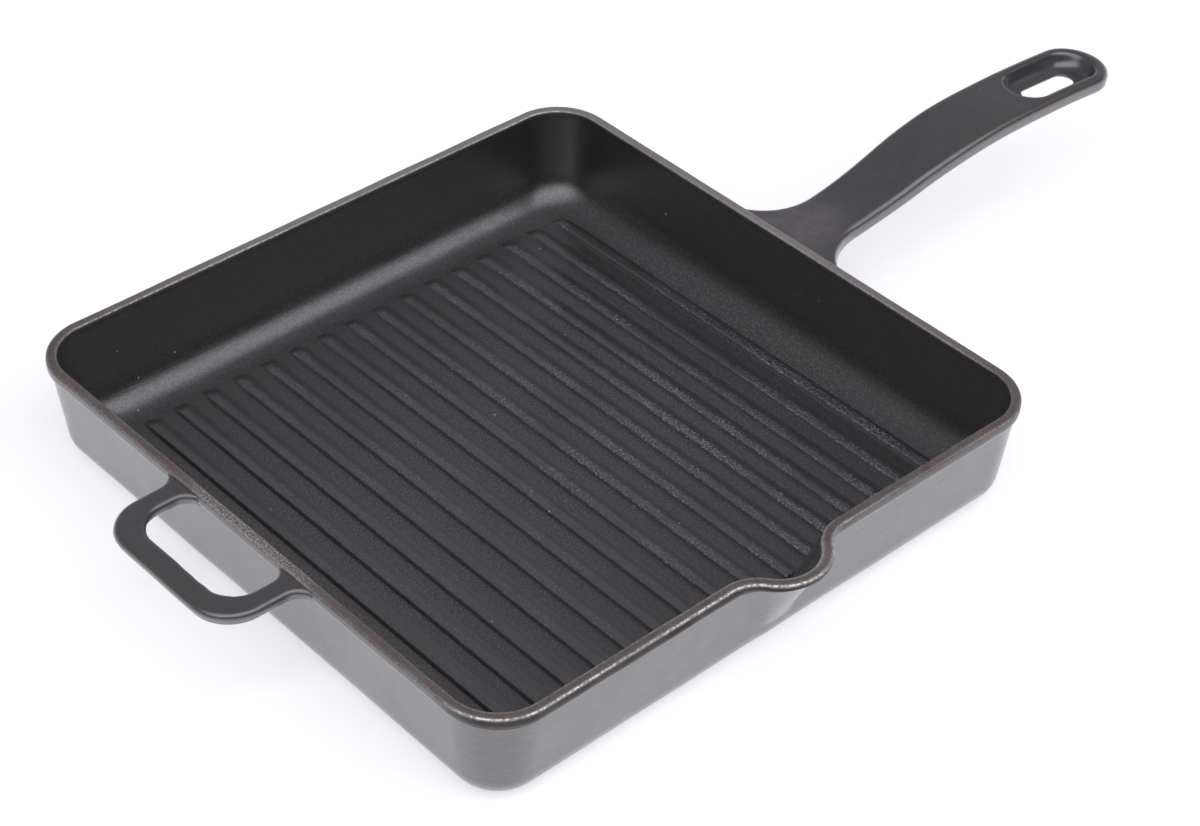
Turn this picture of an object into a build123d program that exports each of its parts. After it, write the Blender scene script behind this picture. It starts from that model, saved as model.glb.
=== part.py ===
from build123d import *
from math import asin, cos, degrees, radians, sin, tan
import os

# Square cast-iron grill pan with a long handle, a helper handle and a pouring lip.
# Millimetres and degrees. The origin is the centre of the flat base, +Z is up, the long
# handle points to +X, the helper handle to -X and the pouring lip to -Y.
# The real pan is one casting. Its features are kept as separate pieces that meet face to face.

# Tray
rim_side = 260.0
rim_corner_radius = 22.5
pan_height = 43.5
lip_height = 2.8
lip_width = 4.0
lip_overhang = 1.7
lip_outer_edge_radius = 1.1
lip_inner_edge_radius = 0.7
lip_root_radius = 1.2
outer_draft = 6.7
inner_draft = 9.0
bottom_edge_radius = 11.5
floor_thickness = 3.8
cove_radius = 11.0
wall_foot_height = 16.0

# Pouring lip, which fades out down the wall
spout_reach = 13.0
spout_half_span = 26.0
spout_nose_share = 0.6
spout_foot_reach = 0.2
spout_foot_half_span = 9.0

# Grill ridges
ridge_count = 17
ridge_side_margin = 3.43
ridge_base_width = 5.4
ridge_height = 2.0
ridge_draft = 25.0
ridge_edge_radius = 0.6
ridge_end_margin = 3.5

# Long handle
handle_reach = 178.3
handle_drop = 0.7
handle_thickness = 7.4
handle_edge_radius = 2.0
neck_width = 26.2
neck_length = 70.0
grip_width = 30.6
handle_root_radius = 26.0
handle_root_angle = 60.0
handle_rise_angle = 14.5
handle_rise_radius = 240.0
handle_crown_radius = 205.0
handle_grip_radius = 600.0

# Dished hanging slot in the end of the long handle
dish_side_border = 4.2
dish_end_border = 5.4
dish_length = 47.4
dish_draft = 10.0
dish_radius = 4.8
slot_lip = 1.0
slot_width = 8.8
slot_length = 28.4

# Helper handle
helper_reach = 33.0
helper_width = 71.0
helper_arm_width = 8.7
helper_bar_width = 8.8
helper_drop = 0.8
helper_thickness = 5.6
helper_draft = 8.0
helper_outer_corner_radius = 16.0
helper_inner_corner_radius = 11.0
helper_outer_root_radius = 7.0
helper_inner_root_radius = 5.0
helper_root_angle = 60.0
helper_top_edge_radius = 1.2
helper_bottom_edge_radius = 1.8

# How far a cutting or trimming shape runs past what it meets
overrun = 5.0

rim_half = rim_side / 2
lip_underside = pan_height - lip_height
cavity_depth = pan_height - floor_thickness
cove_top = floor_thickness + cove_radius


def outer_inset(height):
    """How far the wall's outer face stands in from the lip's outer edge at a height."""
    return lip_overhang + (pan_height - height) * tan(radians(outer_draft))


def inner_inset(height):
    """How far the wall's inner face stands in from the lip's outer edge at a height."""
    return lip_width + (pan_height - height) * tan(radians(inner_draft))


def rounded_square(inset):
    """Face of the tray's outline without the pouring lip, set in from the lip's outer edge."""
    side = rim_side - 2 * inset
    with BuildSketch() as outline:
        RectangleRounded(side, side, rim_corner_radius - inset)
    return outline.sketch


def lipped_square(inset, reach, half_span):
    """Face of the tray's outline with the pouring lip, set in from the lip's outer edge.

    Each shoulder and the nose are tangent arcs whose radii add up to one fixed sum."""
    half = rim_half - inset
    corner = rim_corner_radius - inset
    arc_sum = (half_span**2 + reach**2) / (2 * reach)
    nose = spout_nose_share * arc_sum - inset
    turn = asin(half_span / arc_sum)
    joint_x = nose * sin(turn)
    joint_y = nose - half - reach - nose * cos(turn)
    with BuildSketch() as outline:
        with BuildLine():
            shoulder = TangentArc((half_span, -half), (joint_x, joint_y), tangent=(-1, 0))
            tip = TangentArc(shoulder @ 1, (-joint_x, joint_y), tangent=shoulder % 1)
            TangentArc(tip @ 1, (-half_span, -half), tangent=tip % 1)
            Line((-half_span, -half), (corner - half, -half))
            TangentArc((corner - half, -half), (-half, corner - half), tangent=(-1, 0))
            Line((-half, corner - half), (-half, half - corner))
            TangentArc((-half, half - corner), (corner - half, half), tangent=(0, 1))
            Line((corner - half, half), (half - corner, half))
            TangentArc((half - corner, half), (half, half - corner), tangent=(1, 0))
            Line((half, half - corner), (half, corner - half))
            TangentArc((half, corner - half), (half - corner, -half), tangent=(0, -1))
            Line((half - corner, -half), (half_span, -half))
        make_face()
    return outline.sketch


# The tray without its hollow, with the lip standing proud round its top
with BuildPart() as envelope:
    with BuildSketch(Plane.XY):
        add(rounded_square(outer_inset(0)))
    with BuildSketch(Plane.XY.offset(bottom_edge_radius)):
        add(rounded_square(outer_inset(bottom_edge_radius)))
    loft(ruled=True)
    fillet(envelope.edges().group_by(Axis.Z)[0], bottom_edge_radius)
    with BuildSketch(Plane.XY.offset(bottom_edge_radius)):
        add(lipped_square(outer_inset(bottom_edge_radius), spout_foot_reach, spout_foot_half_span))
    with BuildSketch(Plane.XY.offset(pan_height)):
        add(lipped_square(lip_overhang, spout_reach, spout_half_span))
    loft(ruled=True)
    with BuildSketch(Plane.XY.offset(lip_underside)):
        add(lipped_square(0, spout_reach, spout_half_span))
    extrude(amount=lip_height)
    lip_soffit = envelope.faces().filter_by(Plane.XY).group_by(Axis.Z)[-2].sort_by(SortBy.AREA)[-1]
    fillet(lip_soffit.inner_wires()[0].edges(), lip_root_radius)

# The hollow, with a cove where the floor turns up into the wall
with BuildPart() as hollow:
    with BuildSketch(Plane.XY.offset(floor_thickness)):
        add(rounded_square(inner_inset(floor_thickness)))
    with BuildSketch(Plane.XY.offset(cove_top)):
        add(rounded_square(inner_inset(cove_top)))
    loft(ruled=True)
    fillet(hollow.edges().group_by(Axis.Z)[0], cove_radius)
    with BuildSketch(Plane.XY.offset(cove_top)):
        add(lipped_square(inner_inset(cove_top), spout_foot_reach, spout_foot_half_span))
    with BuildSketch(Plane.XY.offset(pan_height)):
        add(lipped_square(lip_width, spout_reach, spout_half_span))
    loft(ruled=True)

with BuildPart() as tray:
    add(envelope.part)
    add(hollow.part, mode=Mode.SUBTRACT)

# The flat floor, its cove and the rounded bottom edge
with BuildPart() as pan_base:
    add(tray.part)
    split(bisect_by=Plane.XY.offset(wall_foot_height), keep=Keep.BOTTOM)

# The drafted wall with the bulge under the pouring lip
with BuildPart() as pan_wall:
    add(tray.part)
    split(bisect_by=Plane.XY.offset(wall_foot_height), keep=Keep.TOP)
    split(bisect_by=Plane.XY.offset(lip_underside), keep=Keep.BOTTOM)

# The thick lip round the top
with BuildPart() as rim_band:
    add(tray.part)
    split(bisect_by=Plane.XY.offset(lip_underside), keep=Keep.TOP)
    top_loops = rim_band.faces().sort_by(Axis.Z)[-1]
    fillet(top_loops.outer_wire().edges(), lip_outer_edge_radius)
    top_loops = rim_band.faces().filter_by(Plane.XY).sort_by(Axis.Z)[-1]
    fillet(top_loops.inner_wires()[0].edges(), lip_inner_edge_radius)

pieces = {"pan_base": pan_base, "pan_wall": pan_wall, "rim_band": rim_band}

# Grill ridges, side by side along Y on the flat of the floor
flat_half = rim_half - inner_inset(floor_thickness) - cove_radius / tan(radians(90 + inner_draft) / 2)
first_ridge_x = ridge_side_margin - flat_half
ridge_pitch = -2 * first_ridge_x / (ridge_count - 1)
ridge_length = 2 * (flat_half - ridge_end_margin)
for number in range(ridge_count):
    with BuildPart() as ridge:
        with BuildSketch(Plane.XY.offset(floor_thickness)):
            with Locations((first_ridge_x + number * ridge_pitch, 0)):
                SlotOverall(ridge_length, ridge_base_width, rotation=90)
        extrude(amount=ridge_height, taper=ridge_draft)
        fillet(ridge.edges().group_by(Axis.Z)[-1], ridge_edge_radius)
    pieces[f"grill_ridge_{number + 1:02d}"] = ridge

# Long handle: a plan outline cut to a side profile that rises, crowns and falls gently
handle_top = pan_height - handle_drop
handle_underside = handle_top - handle_thickness
handle_end = rim_half + handle_reach
handle_root_x = rim_half - outer_inset(handle_underside)
handle_start = handle_root_x - overrun
neck_start = handle_root_x + handle_root_radius
grip_start = neck_start + neck_length
grip_radius = grip_width / 2
grip_end = handle_end - grip_radius
rise_back_radius = handle_rise_radius + handle_thickness
crown_back_radius = handle_crown_radius - handle_thickness
fall_back_radius = handle_grip_radius - handle_thickness

# The slot is dished: a round-bottomed recess with a narrower slot through its floor
crown_x = handle_root_x + (handle_rise_radius + handle_crown_radius) * sin(radians(handle_rise_angle))
crown_rise = (handle_rise_radius + handle_crown_radius) * (1 - cos(radians(handle_rise_angle)))
slot_x = handle_end - dish_end_border - dish_length / 2
dish_depth = handle_thickness - slot_lip
dish_narrowing = 2 * dish_depth * tan(radians(dish_draft))
slot_fall = asin((slot_x - crown_x) / handle_grip_radius)
slot_z = handle_top + crown_rise - handle_grip_radius * (1 - cos(slot_fall))
slot_plane = Plane(origin=(slot_x, 0, slot_z), x_dir=(cos(slot_fall), 0, -sin(slot_fall)),
                   z_dir=(sin(slot_fall), 0, cos(slot_fall)))

with BuildPart() as slot_cutter:
    with BuildSketch(slot_plane.offset(-dish_depth)):
        SlotOverall(dish_length - dish_narrowing, grip_width - 2 * dish_side_border - dish_narrowing)
    extrude(amount=dish_depth + overrun, taper=-dish_draft)
    fillet(slot_cutter.faces().sort_by(Axis.Z)[0].edges(), dish_radius)
    with BuildSketch(slot_plane.offset(-handle_thickness - overrun)):
        SlotOverall(slot_length, slot_width)
    extrude(amount=handle_thickness + overrun)

with BuildPart() as long_handle:
    with BuildSketch(Plane.XY):
        with BuildLine():
            root_arc = JernArc((neck_start, neck_width / 2), (-1, 0), handle_root_radius, -handle_root_angle)
            root_run = PolarLine(
                root_arc @ 1,
                (root_arc @ 1).X - handle_start,
                direction=root_arc % 1,
                length_mode=LengthMode.HORIZONTAL,
            )
            Line(root_run @ 1, (handle_start, 0))
            Spline((neck_start, neck_width / 2), (grip_start, grip_radius), tangents=((1, 0), (1, 0)))
            Line((grip_start, grip_radius), (grip_end, grip_radius))
            TangentArc((grip_end, grip_radius), (handle_end, 0), tangent=(1, 0))
            mirror(about=Plane.XZ)
        make_face()
    extrude(amount=handle_end)
    with BuildSketch(Plane.XZ) as handle_side:
        with BuildLine():
            lead = Line((handle_start, handle_top), (handle_root_x, handle_top))
            rise = JernArc(lead @ 1, lead % 1, handle_rise_radius, handle_rise_angle)
            crown = JernArc(rise @ 1, rise % 1, handle_crown_radius, -handle_rise_angle)
            fall_angle = degrees(asin((handle_end + overrun - (crown @ 1).X) / handle_grip_radius))
            fall = JernArc(crown @ 1, crown % 1, handle_grip_radius, -fall_angle)
            end_line = PolarLine(fall @ 1, handle_thickness, -90 - fall_angle)
            back_fall = JernArc(end_line @ 1, -(fall % 1), fall_back_radius, fall_angle)
            back_crown = JernArc(back_fall @ 1, back_fall % 1, crown_back_radius, handle_rise_angle)
            back_rise = JernArc(back_crown @ 1, back_crown % 1, rise_back_radius, -handle_rise_angle)
            Polyline(
                back_rise @ 1,
                (handle_start, handle_underside),
                (handle_start, handle_top),
            )
        make_face()
    extrude(amount=handle_reach, both=True, mode=Mode.INTERSECT)
    fillet(long_handle.edges().filter_by(GeomType.LINE, reverse=True), handle_edge_radius)
    add(slot_cutter.part, mode=Mode.SUBTRACT)
    add(envelope.part, mode=Mode.SUBTRACT)

pieces["long_handle"] = long_handle

# Helper handle: a flat loop in the plane of the rim
helper_top = pan_height - helper_drop
helper_underside = helper_top - helper_thickness
helper_root_x = outer_inset(helper_underside) - rim_half
helper_start = helper_root_x + overrun
helper_end = -rim_half - helper_reach
opening_end = helper_end + helper_bar_width
outer_half = helper_width / 2
inner_half = outer_half - helper_arm_width
outer_root_x = helper_root_x - helper_outer_root_radius
inner_root_x = helper_root_x - helper_inner_root_radius

with BuildPart() as helper_handle:
    with BuildSketch(Plane.XY.offset(helper_top)):
        with BuildLine():
            outer_root = JernArc(
                (outer_root_x, outer_half), (1, 0), helper_outer_root_radius, helper_root_angle
            )
            outer_run = PolarLine(
                outer_root @ 1,
                helper_start - (outer_root @ 1).X,
                direction=outer_root % 1,
                length_mode=LengthMode.HORIZONTAL,
            )
            Line(outer_run @ 1, (helper_start, 0))
            Line((outer_root_x, outer_half), (helper_end + helper_outer_corner_radius, outer_half))
            TangentArc(
                (helper_end + helper_outer_corner_radius, outer_half),
                (helper_end, outer_half - helper_outer_corner_radius),
                tangent=(-1, 0),
            )
            Line((helper_end, outer_half - helper_outer_corner_radius), (helper_end, 0))
            mirror(about=Plane.XZ)
        make_face()
        with BuildLine():
            inner_root = JernArc(
                (inner_root_x, inner_half), (1, 0), helper_inner_root_radius, -helper_root_angle
            )
            inner_run = PolarLine(
                inner_root @ 1,
                helper_root_x - (inner_root @ 1).X,
                direction=inner_root % 1,
                length_mode=LengthMode.HORIZONTAL,
            )
            Line(inner_run @ 1, (helper_root_x, 0))
            Line((inner_root_x, inner_half), (opening_end + helper_inner_corner_radius, inner_half))
            TangentArc(
                (opening_end + helper_inner_corner_radius, inner_half),
                (opening_end, inner_half - helper_inner_corner_radius),
                tangent=(-1, 0),
            )
            Line((opening_end, inner_half - helper_inner_corner_radius), (opening_end, 0))
            mirror(about=Plane.XZ)
        make_face(mode=Mode.SUBTRACT)
    extrude(amount=-helper_thickness, taper=helper_draft)
    fillet(helper_handle.edges().group_by(Axis.Z)[-1], helper_top_edge_radius)
    fillet(helper_handle.edges().group_by(Axis.Z)[0], helper_bottom_edge_radius)
    add(envelope.part, mode=Mode.SUBTRACT)

pieces["helper_handle"] = helper_handle

os.makedirs("parts", exist_ok=True)
for name, piece in pieces.items():
    piece.part.label = name
    export_step(piece.part, f"parts/{name}.step")
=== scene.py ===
from math import asin, cos, pi, radians, sin, tan

import bmesh
import bpy
import numpy as np
from mathutils import Matrix, Vector, geometry


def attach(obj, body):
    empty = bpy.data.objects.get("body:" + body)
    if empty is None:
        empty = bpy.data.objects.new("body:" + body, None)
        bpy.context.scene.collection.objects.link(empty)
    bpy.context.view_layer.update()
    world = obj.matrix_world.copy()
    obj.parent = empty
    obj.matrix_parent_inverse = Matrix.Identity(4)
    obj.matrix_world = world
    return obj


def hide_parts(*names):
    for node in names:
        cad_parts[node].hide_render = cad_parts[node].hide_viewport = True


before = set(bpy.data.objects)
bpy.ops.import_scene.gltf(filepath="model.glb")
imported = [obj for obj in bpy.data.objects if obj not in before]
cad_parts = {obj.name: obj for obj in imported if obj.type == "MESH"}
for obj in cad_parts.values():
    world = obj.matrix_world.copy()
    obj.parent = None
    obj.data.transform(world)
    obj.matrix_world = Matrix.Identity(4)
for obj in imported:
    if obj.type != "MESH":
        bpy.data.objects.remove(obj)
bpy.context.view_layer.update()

# The looks of a cast-iron grill pan: the tray in three pieces, its ridges and its two handles.
# Shapes are worked out in millimetres and written to the meshes in metres.
# The origin is the centre of the flat base, +Z is up, the long handle points to +X,
# the helper handle to -X and the pouring lip to -Y.
MM = 0.001

# Tray. The sizes are the CAD's, but for a wider cove and a lip that hangs out less.
RIM_HALF = 130.0
RIM_CORNER = 22.5
PAN_HEIGHT = 43.5
LIP_UNDERSIDE = 40.7
LIP_WIDTH = 4.0
LIP_OVERHANG = 0.9
OUTER_DRAFT = radians(6.7)
INNER_DRAFT = radians(9.0)
BOTTOM_EDGE = 11.5
FLOOR_LEVEL = 3.8
COVE = 15.0
WALL_FOOT = 17.0
INNER_CORNER_LOSS = 0.3
# The shares of the way out at which rings close the floor and the underside
FILL_SHARES = np.linspace(0.93, 0.1, 12)

# Pouring lip
SPOUT_REACH = 13.0
SPOUT_HALF_SPAN = 26.0
SPOUT_NOSE_SHARE = 0.6
SPOUT_FOOT_REACH = 0.2
SPOUT_FOOT_HALF_SPAN = 9.0

# Soft edges of the rim
OUTER_ARRIS = 1.1
INNER_ARRIS = 0.8
LIP_FOOT = 37.0
LIP_FLUSH = 40.3
LAND_INSETS = (2.7, 2.2, 1.6)
FLANK_HEIGHTS = (41.9, 41.3)

# Unevenness of the sand casting: into the metal of the walls, fading out to the flat base, and
# a share of it up and down over the floor
SWELL_DEPTH = 0.16
SWELL_LENGTH = 38.0
FADE_LOW, FADE_HIGH = 0.5, 3.0
FLOOR_SWELL_SHARE = 0.6


# ------------------------ meshes

def swell(points, length=SWELL_LENGTH, seed=11, waves=9):
    """A smooth unevenness from 0 to 1 at each point, the same wherever pieces meet."""
    draw = np.random.default_rng(seed)
    heading = draw.normal(size=(waves, 3))
    heading /= np.linalg.norm(heading, axis=1)[:, None]
    heading *= (2 * pi / length * draw.uniform(0.6, 1.7, waves))[:, None]
    phase = draw.uniform(0, 2 * pi, waves)
    total = np.sin(points @ heading.T + phase).sum(axis=1) / waves
    return np.clip(0.5 + 1.1 * total, 0, 1)


def put_in_scene(name, data):
    """A new object in the scene."""
    made = bpy.data.objects.new(name, data)
    bpy.context.scene.collection.objects.link(made)
    return made


def make_piece(name, points, faces, values=None, sharp=()):
    """A smooth-shaded mesh object from points in millimetres, with its faces turned outwards."""
    mesh = bpy.data.meshes.new(name)
    mesh.from_pydata((np.asarray(points) * MM).tolist(), [], faces)
    for key, numbers in (values or {}).items():
        layer = mesh.attributes.new(key, "FLOAT", "POINT")
        layer.data.foreach_set("value", np.asarray(numbers, np.float32))
    work = bmesh.new()
    work.from_mesh(mesh)
    work.verts.ensure_lookup_table()
    pairs = {frozenset(pair) for pair in sharp}
    if pairs:
        for edge in work.edges:
            if frozenset((edge.verts[0].index, edge.verts[1].index)) in pairs:
                edge.smooth = False
    bmesh.ops.remove_doubles(work, verts=work.verts, dist=0.002 * MM)
    bmesh.ops.recalc_face_normals(work, faces=work.faces)
    work.to_mesh(mesh)
    work.free()
    mesh.polygons.foreach_set("use_smooth", [True] * len(mesh.polygons))
    return put_in_scene(name, mesh)


# ------------------------ tray

def steps(count):
    """Shares of a run from 0 up to, and without, 1."""
    return np.arange(count) / count


def tray_outline(inset, corner, reach, half_span):
    """Points round the tray, counter-clockwise from the pouring lip's left shoulder."""
    half = RIM_HALF - inset
    arc_sum = (half_span**2 + reach**2) / (2 * reach)
    nose = SPOUT_NOSE_SHARE * arc_sum - inset
    shoulder = arc_sum - nose
    turn = asin(half_span / arc_sum)
    run = []

    def line(start, end, count):
        share = steps(count)[:, None]
        run.append(np.array(start) * (1 - share) + np.array(end) * share)

    def arc(centre, radius, start, end, count):
        angle = start + (end - start) * steps(count)
        run.append(np.array(centre) + radius * np.stack([np.cos(angle), np.sin(angle)], 1))

    flat = half - corner
    arc((-half_span, -half - shoulder), shoulder, pi / 2, pi / 2 - turn, 14)
    arc((0, -half - reach + nose), nose, -pi / 2 - turn, -pi / 2 + turn, 26)
    arc((half_span, -half - shoulder), shoulder, pi / 2 + turn, pi / 2, 14)
    line((half_span, -half), (flat, -half), 60)
    arc((flat, -flat), corner, -pi / 2, 0, 18)
    line((half, -flat), (half, flat), 100)
    arc((flat, flat), corner, 0, pi / 2, 18)
    line((flat, half), (-flat, half), 100)
    arc((-flat, flat), corner, pi / 2, pi, 18)
    line((-half, flat), (-half, -flat), 100)
    arc((-flat, -flat), corner, pi, 3 * pi / 2, 18)
    line((-flat, -half), (-half_span, -half), 60)
    return np.concatenate(run)


def tray_ring(row):
    """Points round the tray for one row of its profile, pressed into the metal by the swell.

    A row is its height, its inset from the rim, its share of the pouring lip's full plan, how far
    its face points out of the tray and how far up, and how much of the swell it takes."""
    height, inset, share, out, up, depth = row
    corner = RIM_CORNER - inset
    if out < 0 and inset > LIP_WIDTH:
        # Inside, the corners stay wide all the way down to the floor
        corner = RIM_CORNER - LIP_WIDTH - INNER_CORNER_LOSS * (inset - LIP_WIDTH)
    foot = tray_outline(inset, corner, SPOUT_FOOT_REACH, SPOUT_FOOT_HALF_SPAN)
    top = tray_outline(inset, corner, SPOUT_REACH, SPOUT_HALF_SPAN)
    plan = foot * (1 - share) + top * share
    points = np.column_stack([plan, np.full(len(plan), height)])
    press = swell(points) * SWELL_DEPTH * depth
    ahead, behind = np.roll(plan, -1, axis=0), np.roll(plan, 1, axis=0)
    along = (ahead - behind) / np.linalg.norm(ahead - behind, axis=1)[:, None]
    outward = np.column_stack([along[:, 1], -along[:, 0]])
    points[:, :2] -= outward * (out * press)[:, None]
    points[:, 2] -= up * press
    return points


def outer_row(height):
    """One row of the wall's outer face."""
    share = max(0.0, (height - BOTTOM_EDGE) / (PAN_HEIGHT - BOTTOM_EDGE))
    inset = LIP_OVERHANG + (PAN_HEIGHT - height) * tan(OUTER_DRAFT)
    return (height, inset, share, cos(OUTER_DRAFT), -sin(OUTER_DRAFT), 1.0)


def inner_row(height):
    """One row of the wall's inner face."""
    foot = FLOOR_LEVEL + COVE
    share = max(0.0, (height - foot) / (PAN_HEIGHT - foot))
    inset = LIP_WIDTH + (PAN_HEIGHT - height) * tan(INNER_DRAFT)
    return (height, inset, share, -cos(INNER_DRAFT), sin(INNER_DRAFT), 1.0)


def flank_row(height):
    """One row of the lip's flank, which turns in softly to the wall at its foot."""
    height, inset, share, out, up, depth = outer_row(height)
    climb = min(1.0, (height - LIP_FOOT) / (LIP_FLUSH - LIP_FOOT))
    return (height, inset * (1 - climb**2 * (3 - 2 * climb)), share, out, up, depth)


def bend(centre_height, centre_inset, radius, start, end, count, share, hollow=False):
    """Rows of a rounded edge. An angle is 0 pointing out of the tray and 90 degrees pointing up."""
    rows = []
    facing = -1 if hollow else 1
    for angle in np.radians(np.linspace(start, end, count)):
        # In a hollow this part stays above nothing, so that its rows count as inner ones
        out = max(cos(angle), 1e-6) if hollow else cos(angle)
        rows.append((centre_height + radius * sin(angle), centre_inset - radius * cos(angle), share,
                     facing * out, facing * sin(angle), 1.0))
    return rows


def tray_piece(name, rows, closed, seams, fills=(), **marks):
    """A ring of the tray from its profile rows. Fills are the ends closed to a point at the middle.

    A mark is a named value for each row, stored on the row's points for the finish to read."""
    rings = [tray_ring(row) for row in rows]
    count = len(rings[0])
    points = np.concatenate(rings)
    faces = []

    def band(here, after):
        for k in range(count):
            n = (k + 1) % count
            faces.append((here + k, here + n, after + n, after + k))

    for row in range(len(rows) if closed else len(rows) - 1):
        band(row * count, (row + 1) % len(rows) * count)
    values = {key: list(np.repeat(numbers, count)) for key, numbers in marks.items()}
    for row, floor_depth in fills:
        edge = rings[row]
        last_start = row * count
        for share in FILL_SHARES:
            ring = edge * (share, share, 1)
            level = edge[:, 2].mean()
            uneven = swell(ring * (1, 1, 0) + (0, 0, level)) - 0.5
            ring[:, 2] = level - floor_depth * uneven * FLOOR_SWELL_SHARE
            start = len(points)
            points = np.concatenate([points, ring])
            for numbers in values.values():
                numbers += [numbers[row * count]] * count
            band(last_start, start)
            last_start = start
        points = np.concatenate([points, [[0, 0, points[last_start:, 2].mean()]]])
        for numbers in values.values():
            numbers.append(numbers[row * count])
        for k in range(count):
            faces.append((last_start + k, last_start + (k + 1) % count, len(points) - 1))
    sharp = [(row * count + k, row * count + (k + 1) % count)
             for row in seams for k in range(count)]
    return make_piece(name, points, faces, values, sharp)


def build_base():
    """Floor, cove and rounded bottom edge, up to the foot of the wall."""
    tangent = BOTTOM_EDGE / tan((pi / 2 + OUTER_DRAFT) / 2)
    edge_inset = LIP_OVERHANG + PAN_HEIGHT * tan(OUTER_DRAFT) + tangent
    cove_tangent = COVE / tan((pi / 2 + INNER_DRAFT) / 2)
    cove_inset = LIP_WIDTH + (PAN_HEIGHT - FLOOR_LEVEL) * tan(INNER_DRAFT) + cove_tangent
    inner = [inner_row(WALL_FOOT), inner_row(WALL_FOOT - 0.25)]
    inner += bend(FLOOR_LEVEL + COVE, cove_inset, COVE, -np.degrees(INNER_DRAFT), -90.0, 15, 0.0,
                  hollow=True)
    outer = [outer_row(WALL_FOOT), outer_row(13.5), outer_row(BOTTOM_EDGE)]
    outer += bend(BOTTOM_EDGE, edge_inset, BOTTOM_EDGE, -np.degrees(OUTER_DRAFT), -90.0, 15, 0.0)
    outer = [row if row[0] > FADE_HIGH else
             (*row[:5], max(0.0, row[0] - FADE_LOW) / (FADE_HIGH - FADE_LOW)) for row in outer]
    rows = inner[::-1] + outer
    seam = len(inner) - 1
    inside = [1.0] * len(inner) + [0.0] * len(outer)
    return tray_piece("iron_base", rows, False, (seam, seam + 1),
                      fills=((0, SWELL_DEPTH), (len(rows) - 1, 0.0)), inside=inside)


def build_wall():
    """The leaning wall, bulging under the pouring lip, and the lower part of the lip's flank."""
    inner = [inner_row(height) for height in np.linspace(WALL_FOOT, LIP_UNDERSIDE, 14)]
    heights = np.linspace(LIP_UNDERSIDE, LIP_FOOT, 13)
    flank = [flank_row(height) for height in heights]
    on_flank = list(np.clip((heights - LIP_FOOT) / 0.6 - 0.4, 0, 1))
    outer = [outer_row(LIP_FOOT - 0.12)]
    outer += [outer_row(height) for height in np.linspace(LIP_FOOT - 1.0, WALL_FOOT, 16)]
    rows = inner + flank + outer
    seams = (0, len(inner) - 1, len(inner), len(rows) - 1)
    return tray_piece("iron_wall", rows, True, seams,
                      inside=[1.0] * len(inner) + [0.0] * (len(flank) + len(outer)),
                      flank=[0.0] * len(inner) + on_flank + [0.0] * len(outer))


def build_rim():
    """The thick rim round the top. Its worn value is 1 along the two arrises, its flank value
    on the outer side and its inside value on the inner one."""
    inner = [inner_row(LIP_UNDERSIDE), inner_row(LIP_UNDERSIDE + 0.9),
             inner_row(PAN_HEIGHT - INNER_ARRIS * 1.1)]
    turn_inset = LIP_WIDTH + INNER_ARRIS * tan(INNER_DRAFT) - INNER_ARRIS / cos(INNER_DRAFT)
    inner_turn = bend(PAN_HEIGHT - INNER_ARRIS, turn_inset, INNER_ARRIS,
                      180.0 - np.degrees(INNER_DRAFT), 90.0, 6, 1.0)
    inner_turn = [(*row[:2], inner_row(row[0])[2], *row[3:]) for row in inner_turn]
    land = [(PAN_HEIGHT, inset, 1.0, 0.0, 1.0, 1.0) for inset in LAND_INSETS]
    outer_turn = bend(PAN_HEIGHT - OUTER_ARRIS, OUTER_ARRIS, OUTER_ARRIS, 90.0, 0.0, 7, 1.0)
    flank = [(height, 0.0, 1.0, 1.0, 0.0, 1.0) for height in FLANK_HEIGHTS]
    flank.append(flank_row(LIP_UNDERSIDE))
    rows = inner + inner_turn + land + outer_turn + flank
    worn = ([0.0, 0.0, 0.1] + [0.4, 0.8, 1.0, 0.9, 0.5, 0.2] + [0.0, 0.0, 0.0]
            + [0.15, 0.5, 0.9, 1.0, 0.75, 0.3, 0.0] + [0.0] * 3)
    side = [0.0] * (len(rows) - 8) + [0.0, 0.1, 0.4, 0.8, 1.0] + [1.0] * 3
    inside = [1.0, 1.0, 1.0, 0.8, 0.3] + [0.0] * (len(rows) - 5)
    return tray_piece("iron_rim", rows, True, (0, len(rows) - 1),
                      worn=worn, flank=side, inside=inside)


# ------------------------ nodes

def is_output(value):
    """Whether an input is another node's output and not a plain value."""
    return isinstance(value, bpy.types.NodeSocket)


def give(node, inputs):
    """Gives a node its inputs, by name or place: a plain value, or another node's output."""
    for key, value in inputs.items():
        if is_output(value):
            node.id_data.links.new(value, node.inputs[key])
        else:
            node.inputs[key].default_value = value


def add_node(tree, kind, inputs=None, **settings):
    """A node with its settings and inputs."""
    made = tree.nodes.new(kind)
    for key, value in settings.items():
        setattr(made, key, value)
    give(made, inputs or {})
    return made


def sums(operation, *values, clamp=False):
    """The output of one Math node, in the tree that its inputs are in."""
    tree = next(value.id_data for value in values if is_output(value))
    return add_node(tree, "ShaderNodeMath", dict(enumerate(values)), operation=operation,
                    use_clamp=clamp).outputs[0]


def product(total, *others):
    """Values multiplied together in their order."""
    for other in others:
        total = sums("MULTIPLY", total, other)
    return total


def between(value, low, high, to_low=0.0, to_high=1.0, kind="LINEAR"):
    """A value's range turned into another."""
    return add_node(value.id_data, "ShaderNodeMapRange", {
        "Value": value, "From Min": low, "From Max": high, "To Min": to_low, "To Max": to_high},
        interpolation_type=kind).outputs["Result"]


def eased(value, *ranges):
    """The same, easing in and out at its ends."""
    return between(value, *ranges, kind="SMOOTHSTEP")


def split(vector):
    """A vector's X, Y and Z."""
    return add_node(vector.id_data, "ShaderNodeSeparateXYZ", {"Vector": vector}).outputs


# ------------------------ ridges

RIDGE_PITCH = 13.36


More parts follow.
